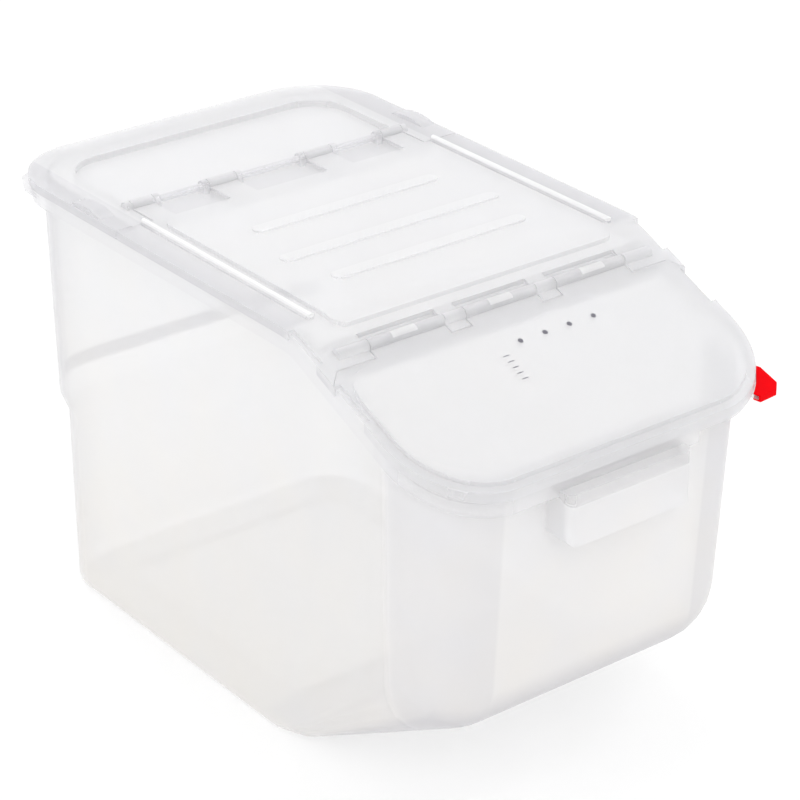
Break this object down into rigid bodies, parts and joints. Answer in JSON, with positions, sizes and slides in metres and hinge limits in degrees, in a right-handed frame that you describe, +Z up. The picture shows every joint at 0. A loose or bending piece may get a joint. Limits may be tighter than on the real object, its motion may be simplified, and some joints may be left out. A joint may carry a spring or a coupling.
{
  "type": "rice bin with flip lid",
  "caption": "Translucent shelf ingredient bin with a sloping front mouth, a folding lid of three sections and a small coloured corner clip.",
  "frame": {"origin": "bottom centre of the bounding box, under the floor of the tub", "axes": "+Z up, +Y towards the high rear wall, -Y the low front with the handle, +X to the right seen from the front"},
  "size_m": [0.3506, 0.614, 0.3919],
  "materials": {
    "clear_body": "natural translucent polypropylene, injection moulded, soft gloss",
    "clear_lid": "natural translucent polypropylene, injection moulded, soft gloss",
    "red_clip": "opaque red ABS, injection moulded"
  },
  "bodies": {
    "tub": {"tub": "clear_body", "rear_lid": "clear_lid", "colour_clip": "red_clip"},
    "middle_lid": {"middle_lid": "clear_lid"},
    "front_flap": {"front_flap": "clear_lid"}
  },
  "joints": [
    {"name": "middle_lid_hinge", "type": "hinge", "parent": "tub", "child": "middle_lid", "pos_m": [0, 0.157, 0.3867], "axis": [-1, 0, 0], "range_deg": [0, 160]},
    {"name": "front_flap_hinge", "type": "hinge", "parent": "middle_lid", "child": "front_flap", "pos_m": [0, -0.147, 0.37307], "axis": [-1, 0, 0], "range_deg": [0, 150]}
  ]
}
